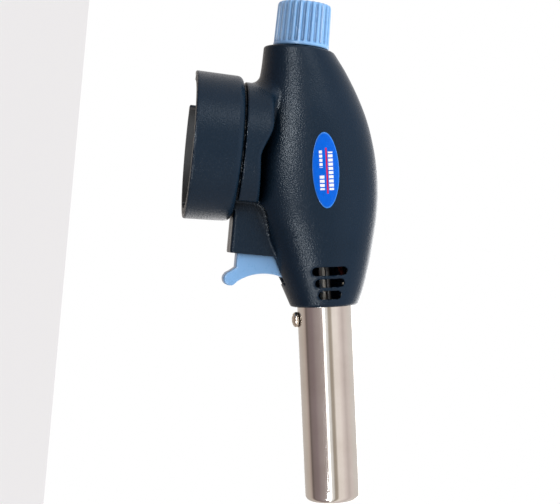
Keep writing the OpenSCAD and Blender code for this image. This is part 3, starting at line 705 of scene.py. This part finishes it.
def finish_for(name, colour, rough, grain, depth, metallic=0.0, vary=0.15, hollow_shade_share=1.0, **fixed):
    """General finish: colour drift, uneven gloss, and fine grain of the given size and depth in mm.
    Below a share of 1, grooves and recesses get painted shade that sinks to that share of the colour."""
    dark = [c * (1 - vary) for c in colour]
    light = [min(c * (1 + vary), 1) for c in colour]
    material, tree, shader, where = shaded(name, colour, metallic, **fixed)
    drift = noise(tree, where, 60, 4)
    fine = noise(tree, where, 1 / (grain * MM), 2)
    scuff = noise(tree, where, 420, 6, 0.7)
    shade = tint(tree, drift, dark, light)
    # Painted shade in grooves and recesses, by ambient occlusion within 1.6 mm.
    if hollow_shade_share < 1:
        shade = paint_hollow_shade(tree, shade, 1.6, hollow_shade_share)
    link(tree, shader, Base_Color=shade,
         Roughness=spread(tree, scuff, rough - 0.07, rough + 0.08),
         Normal=bump(tree, fine, 0.5, depth * MM))
    return material


def housing_material():
    """Dark navy moulded plastic with a fine spark-eroded grain, a seam line at Y = 0, and painted shade in
    its valleys and corners.
    """
    material, tree, shader, where = shaded("housing_plastic", (0.006, 0.018, 0.038), 0.0,
                                           Specular_IOR_Level=0.13)
    grain = noise(tree, where, 1900, 2, 0.5)
    pores = add(tree, "ShaderNodeTexVoronoi", {"Vector": where, "Scale": 2300.0}).outputs["Distance"]
    drift = noise(tree, where, 45, 4)
    scuff = noise(tree, where, 260, 6, 0.72)
    colour = tint(tree, drift, (0.0056, 0.0165, 0.033), (0.0068, 0.0190, 0.038))
    across = add(tree, "ShaderNodeSeparateXYZ", {"Vector": where}).outputs["Y"]
    away = add(tree, "ShaderNodeMath", {0: across}, operation="ABSOLUTE").outputs["Value"]
    seam = remap(tree, away, 0.05 * MM, 0.22 * MM, 0.25, 1.0)
    # Painted shade: the colour sinks to 8% where little is open within 7 mm, in the valley by the neck and
    # other corners.
    hollow_shaded_colour = paint_hollow_shade(tree, times(tree, colour, seam), 7, 0.08)
    height = add(tree, "ShaderNodeMath", {0: grain, 1: pores}, operation="ADD").outputs["Value"]
    link(tree, shader, Base_Color=hollow_shaded_colour,
         Roughness=spread(tree, scuff, 0.23, 0.30),
         Normal=bump(tree, height, 1.0, 0.05 * MM))
    return material


def steel_tube_material():
    """Bright drawn steel with fine lines along the tube and a slow drift in its tint."""
    material, tree, shader, where = shaded("tube_steel", (0.60, 0.57, 0.53), 1.0)
    turned = add(tree, "ShaderNodeMapping", {
        "Vector": where, "Rotation": (0, TUBE_ANGLE, 0), "Scale": (0.02, 1.0, 1.0)}).outputs["Vector"]
    lines = noise(tree, turned, 2600, 3, 0.6)
    blotch = noise(tree, where, 70, 4)
    colour = tint(tree, blotch, (0.56, 0.525, 0.485), (0.64, 0.61, 0.575))
    link(tree, shader, Base_Color=colour, Roughness=spread(tree, lines, 0.07, 0.14),
         Normal=bump(tree, lines, 0.10, 0.01 * MM))
    return material


PRINT_EDGE = 0.06
DASH_PITCH, DASH_GAP = 1.35, 0.3
DASH_ROWS = [(0.3, 6.2, 1.65, 0.75), (-3.6, 2.8, -1.5, 0.5), (4.0, 2.4, -1.35, 0.75)]


def badge_material():
    """Blue oval print: lighter rim, a thin red line and rows of plain pale dashes, with no lettering."""
    material, tree, shader, where = shaded("badge_print", (0.0, 0.12, 0.66), 0.0, Coat_Weight=0.15,
                                           Coat_Roughness=0.08, Specular_IOR_Level=0.05)
    local = add(tree, "ShaderNodeVectorMath", {
        0: where, 1: (BADGE_X * MM, 0, BADGE_Z * MM)}, operation="SUBTRACT").outputs["Vector"]
    turned = add(tree, "ShaderNodeVectorRotate", {
        "Vector": local, "Angle": TUBE_ANGLE}, rotation_type="Y_AXIS").outputs["Vector"]
    part = add(tree, "ShaderNodeSeparateXYZ", {"Vector": turned})
    u, v = part.outputs["X"], part.outputs["Z"]

    def math_node(operation, *values):
        inputs = {i: value for i, value in enumerate(values)}
        return add(tree, "ShaderNodeMath", inputs, operation=operation).outputs["Value"]

    def band(value, centre, half):
        """1 where value is within half of centre, with a soft edge."""
        off = math_node("ABSOLUTE", math_node("SUBTRACT", value, centre * MM))
        return remap(tree, off, (half - PRINT_EDGE) * MM, (half + PRINT_EDGE) * MM, 1.0, 0.0)

    def over(under, colour, mask):
        """Colour laid over another where the mask is 1."""
        node = add(tree, "ShaderNodeMix", {"Factor": mask}, data_type="RGBA")
        tree.links.new(under, node.inputs["A"])
        node.inputs["B"].default_value = (*colour, 1)
        return node.outputs["Result"]

    reach = math_node("SQRT", math_node(
        "ADD", math_node("POWER", math_node("DIVIDE", u, BADGE_A * MM), 2),
        math_node("POWER", math_node("DIVIDE", v, BADGE_B * MM), 2)))
    rim = remap(tree, reach, 0.955, 0.975, 0.0, 1.0)
    colour = tint(tree, noise(tree, where, 900, 3), (0.0, 0.105, 0.62), (0.0, 0.125, 0.70))
    pale = (0.80, 0.86, 0.93)
    dashes = math_node("FRACT", math_node("DIVIDE", u, DASH_PITCH * MM))
    dashes = math_node("GREATER_THAN", dashes, DASH_GAP)
    for centre_u, half_u, centre_v, half_v in DASH_ROWS:
        mask = math_node("MULTIPLY", band(u, centre_u, half_u), band(v, centre_v, half_v))
        colour = over(colour, pale, math_node("MULTIPLY", mask, dashes))
    red = math_node("MULTIPLY", band(v, 0.35, 0.26), band(u, 0.2, 7.4))
    colour = over(colour, (0.55, 0.01, 0.05), red)
    colour = over(colour, (0.04, 0.22, 0.72), rim)
    link(tree, shader, Base_Color=colour,
         Roughness=spread(tree, noise(tree, where, 500, 4), 0.22, 0.34))
    return material


FINISHES = {
    "housing_plastic": housing_material(),
    "tube_steel": steel_tube_material(),
    "badge_print": badge_material(),
    # Knob and trigger plastic; its grooves and recesses get painted shade down to a quarter of the colour.
    "light_blue_plastic": finish_for("light_blue_plastic", (0.195, 0.43, 0.78), 0.30, 0.5, 0.012,
                                     vary=0.05, hollow_shade_share=0.25),
    "ring_plastic": finish_for("ring_plastic", (0.012, 0.012, 0.013), 0.5, 0.6, 0.04, vary=0.25),
    "screw_steel": finish_for("screw_steel", (0.42, 0.36, 0.30), 0.3, 0.3, 0.02, metallic=1.0),
    "barrel_steel": finish_for("barrel_steel", (0.62, 0.60, 0.56), 0.55, 0.25, 0.05, metallic=1.0),
    "valve_brass": finish_for("valve_brass", (0.66, 0.47, 0.20), 0.3, 0.25, 0.02, metallic=1.0),
    "pipe_metal": finish_for("pipe_metal", (0.72, 0.40, 0.24), 0.32, 0.4, 0.02, metallic=1.0),
    "seal_rubber": finish_for("seal_rubber", (0.02, 0.02, 0.02), 0.6, 0.5, 0.03, vary=0.3),
    "ceramic_white": finish_for("ceramic_white", (0.80, 0.77, 0.70), 0.55, 0.3, 0.03, vary=0.06),
    "piezo_plastic": finish_for("piezo_plastic", (0.66, 0.62, 0.52), 0.48, 0.7, 0.03, vary=0.06),
    "lead_red": finish_for("lead_red", (0.16, 0.012, 0.010), 0.5, 0.4, 0.02),
    "lead_black": finish_for("lead_black", (0.015, 0.015, 0.016), 0.5, 0.4, 0.02, vary=0.3),
}
SLOT_OF = {s["node"]: s["material_slot"] for s in frame["record"]["subparts"]}
for name, obj in frame["nodes"].items():
    obj.data.materials.clear()
    obj.data.materials.append(FINISHES[SLOT_OF[name]])
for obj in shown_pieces():
    if obj.get("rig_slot"):
        obj.data.materials.clear()
        obj.data.materials.append(FINISHES[obj["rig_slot"]])


# ---------------------------------------------------------------- studio
CAMERA_TILT, CAMERA_ROLL = math.radians(7.3), math.radians(5.2)
CAMERA_TARGET, CAMERA_DISTANCE = Vector((32.7, 0, 33.4)) * MM, 0.467
LAMP_TARGET = Vector((0.02, 0, 0.035))
RAMP_START = 7
FLOOR_REACH, FLOOR_LEVEL = 20, -0.5


def world_light():
    """White surroundings for the camera; soft boxes and darker gaps for light and reflections."""
    world = bpy.data.worlds.new("studio")
    bpy.context.scene.world = world
    world.use_nodes = True
    tree = world.node_tree
    tree.nodes.clear()
    direction = add(tree, "ShaderNodeTexCoord").outputs["Generated"]
    part = add(tree, "ShaderNodeSeparateXYZ", {"Vector": direction})
    minus_y = add(tree, "ShaderNodeMath", {0: part.outputs["Y"], 1: -1.0}, operation="MULTIPLY")
    turn = add(tree, "ShaderNodeMath", {
        0: part.outputs["Z"], 1: minus_y.outputs["Value"]}, operation="ARCTAN2")
    place = remap(tree, turn.outputs["Value"], -math.pi, math.pi, 0.0, 1.0)

    def at(degrees):
        """Place on the ramp of an angle about X, counted upwards from RAMP_START below -Y."""
        return 0.5 + (degrees - RAMP_START) / 360

    bands = ramp(tree, place, [
        (at(-150), (0.72, 0.67, 0.63)), (at(-112), (0.72, 0.64, 0.58)), (at(-100), (0.60, 0.50, 0.46)),
        (at(-90), (0.20, 0.16, 0.15)), (at(-80), (0.30, 0.24, 0.24)), (at(-60), (0.34, 0.27, 0.28)),
        (at(-46), (0.44, 0.37, 0.37)), (at(-14), (0.56, 0.48, 0.46)), (at(-11), 3.2), (at(-6), 3.2),
        (at(-3), 1.1), (at(5), 1.05), (at(10), (0.52, 0.46, 0.39)), (at(20), (0.54, 0.48, 0.41)),
        (at(26), (1.18, 1.11, 1.06)), (at(45), (1.18, 1.10, 1.06)), (at(56), (1.02, 0.92, 0.90)),
        (at(71), (0.80, 0.72, 0.70)), (at(86), (0.95, 0.86, 0.84)), (at(105), (0.97, 0.92, 0.89)),
        (at(150), (0.94, 0.92, 0.92)),
    ])
    studio = add(tree, "ShaderNodeBackground", {"Color": bands, "Strength": 1.0})
    white = add(tree, "ShaderNodeBackground", {"Color": (1, 1, 1, 1), "Strength": 1.0})
    seen = add(tree, "ShaderNodeLightPath").outputs["Is Camera Ray"]
    mix = add(tree, "ShaderNodeMixShader", {0: seen, 1: studio.outputs[0], 2: white.outputs[0]})
    add(tree, "ShaderNodeOutputWorld", {"Surface": mix.outputs[0]})


def area_light(name, place, width, height, power, colour):
    """Rectangular lamp that faces the object."""
    data = bpy.data.lights.new(name, "AREA")
    data.shape = "RECTANGLE"
    data.size, data.size_y = width, height
    data.energy = power
    data.color = colour
    light = bpy.data.objects.new(name, data)
    bpy.context.scene.collection.objects.link(light)
    light.location = place
    light.rotation_euler = (LAMP_TARGET - Vector(place)).to_track_quat("-Z", "Y").to_euler()
    return light


def floor():
    """Pale floor well below the object."""
    mesh = bpy.data.meshes.new("floor")
    signs = ((-1, -1), (1, -1), (1, 1), (-1, 1))
    corners = [(sx * FLOOR_REACH, sy * FLOOR_REACH, FLOOR_LEVEL) for sx, sy in signs]
    mesh.from_pydata(corners, [], [(0, 1, 2, 3)])
    obj = bpy.data.objects.new("floor", mesh)
    bpy.context.scene.collection.objects.link(obj)
    material, tree, shader, where = shaded("floor_white", (0.87, 0.91, 0.94))
    link(tree, shader, Roughness=spread(tree, noise(tree, where, 20), 0.75, 0.85))
    mesh.materials.append(material)
    obj.visible_glossy = False
    obj.visible_diffuse = False


def camera():
    """View from -Y, 7 degrees below the collar's plane, with X running down."""
    tilt, roll = CAMERA_TILT, CAMERA_ROLL
    back = Vector((0, -math.cos(tilt), -math.sin(tilt)))
    right = Vector((-math.sin(roll), -math.cos(roll) * math.sin(tilt), math.cos(roll) * math.cos(tilt)))
    up = Vector((-math.cos(roll), math.sin(roll) * math.sin(tilt), -math.sin(roll) * math.cos(tilt)))
    data = bpy.data.cameras.new("camera")
    data.sensor_width = 36
    data.lens = 90
    obj = bpy.data.objects.new("camera", data)
    bpy.context.scene.collection.objects.link(obj)
    place = CAMERA_TARGET + back * CAMERA_DISTANCE
    obj.matrix_world = Matrix((
        (right.x, up.x, back.x, place.x), (right.y, up.y, back.y, place.y),
        (right.z, up.z, back.z, place.z), (0, 0, 0, 1)))
    data.clip_start, data.clip_end = 0.01, 20
    bpy.context.scene.camera = obj


world_light()
sky = area_light("top", (-0.25, -0.45, 0.75), 0.8, 0.6, 6.0, (1.0, 0.99, 0.97))
sky.visible_glossy = False
area_light("back", (0.3, 0.8, 0.5), 0.9, 0.9, 5.0, (1.0, 1.0, 1.0))
REFLECTED_LAMPS = [
    ("upper", (-0.235, -0.72, -0.38), 0.53, 0.05, 7.0), ("lower", (0.56, -0.68, -0.30), 0.48, 0.055, 5.5),
    ("end", (-0.67, -0.59, 0.20), 0.30, 0.30, 1.6),
]
for name, place, length, width, power in REFLECTED_LAMPS:
    lamp = area_light(name, place, length, width, power, (0.86, 0.94, 1.0))
    lamp.visible_diffuse = False
floor()
camera()
bpy.context.scene.view_settings.view_transform = "Standard"
